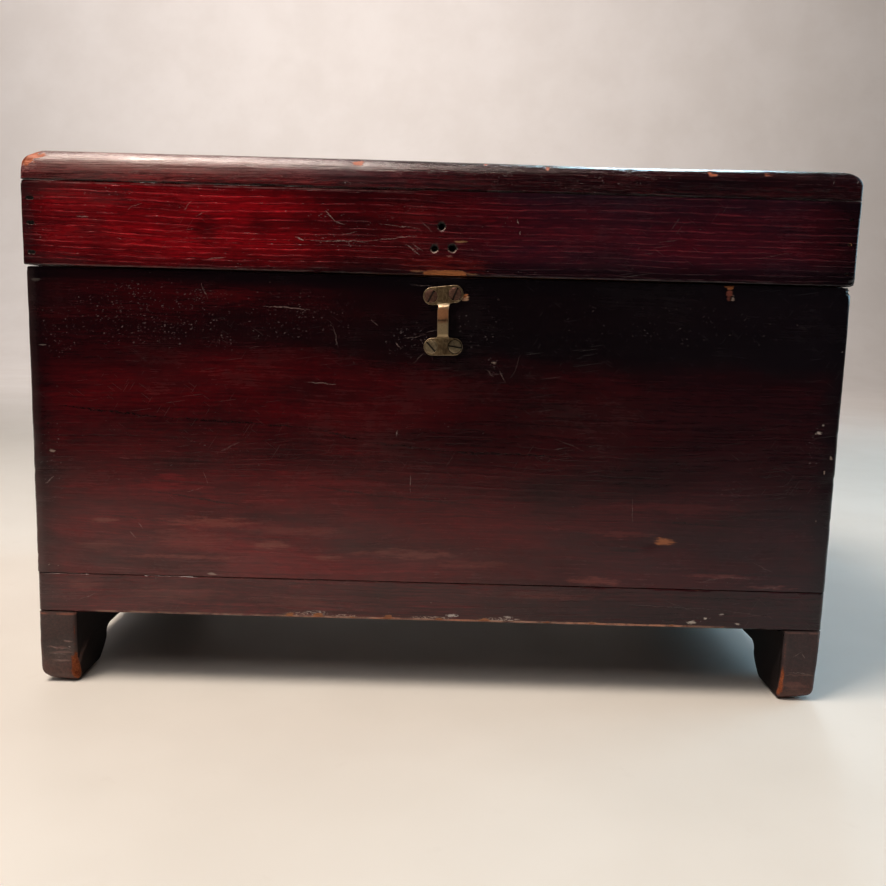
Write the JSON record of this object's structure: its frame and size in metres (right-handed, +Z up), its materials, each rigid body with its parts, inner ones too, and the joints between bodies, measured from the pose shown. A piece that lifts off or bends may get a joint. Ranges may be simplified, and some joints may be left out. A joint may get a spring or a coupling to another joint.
{
  "type": "document box",
  "caption": "Lacquered wooden document box: nailed board carcase on arched side runners, rear-hinged framed lid with a round-edged top, brass bridge keeper on the front.",
  "frame": {"origin": "on the floor under the middle of the closed box, keeper and hinge knuckles counted", "axes": "+X to the right of the front, -Y out of the front, +Z up"},
  "size_m": [0.406, 0.2728, 0.2686],
  "materials": {
    "lacquered_wood": "worn translucent red-to-black gloss lacquer over softwood, edges rubbed to orange wood",
    "bare_wood": "bare aged softwood, dull",
    "brass": "tarnished sheet brass, rubbed on its high spots",
    "iron": "dark oxidised iron"
  },
  "bodies": {
    "chest": {"front_panel": "lacquered_wood", "back_panel": "lacquered_wood", "left_side_panel": "lacquered_wood", "right_side_panel": "lacquered_wood", "base_rail_front": "lacquered_wood", "base_rail_back": "lacquered_wood", "base_rail_left": "lacquered_wood", "base_rail_right": "lacquered_wood", "bottom_board": "bare_wood", "left_runner": "lacquered_wood", "right_runner": "lacquered_wood", "keeper_bridge": "brass", "keeper_screw_upper_left": "brass", "keeper_screw_upper_right": "brass", "keeper_screw_lower_left": "brass", "keeper_screw_lower_right": "brass", "hinge_left_body_leaf": "brass", "hinge_left_body_screw_a": "brass", "hinge_left_body_screw_b": "brass", "hinge_left_pin": "brass", "runner_screw_left_front": "iron", "runner_screw_left_back": "iron", "front_nail_left_1": "iron", "front_nail_left_2": "iron", "front_nail_left_3": "iron", "front_nail_left_4": "iron", "hinge_right_body_leaf": "brass", "hinge_right_body_screw_a": "brass", "hinge_right_body_screw_b": "brass", "hinge_right_pin": "brass", "runner_screw_right_front": "iron", "runner_screw_right_back": "iron", "front_nail_right_1": "iron", "front_nail_right_2": "iron", "front_nail_right_3": "iron", "front_nail_right_4": "iron"},
    "lid": {"lid_top_board": "lacquered_wood", "lid_front_rail": "lacquered_wood", "lid_back_rail": "lacquered_wood", "lid_left_rail": "lacquered_wood", "lid_right_rail": "lacquered_wood", "hinge_left_lid_leaf": "brass", "hinge_left_lid_screw_a": "brass", "hinge_left_lid_screw_b": "brass", "lid_nail_left_1": "iron", "lid_nail_left_2": "iron", "lid_nail_left_3": "iron", "hinge_right_lid_leaf": "brass", "hinge_right_lid_screw_a": "brass", "hinge_right_lid_screw_b": "brass", "lid_nail_right_1": "iron", "lid_nail_right_2": "iron", "lid_nail_right_3": "iron"}
  },
  "joints": [
    {"name": "lid_hinge", "type": "hinge", "parent": "chest", "child": "lid", "pos_m": [0, 0.13415, 0.21315], "axis": [-1, 0, 0], "range_deg": [0, 180]}
  ]
}
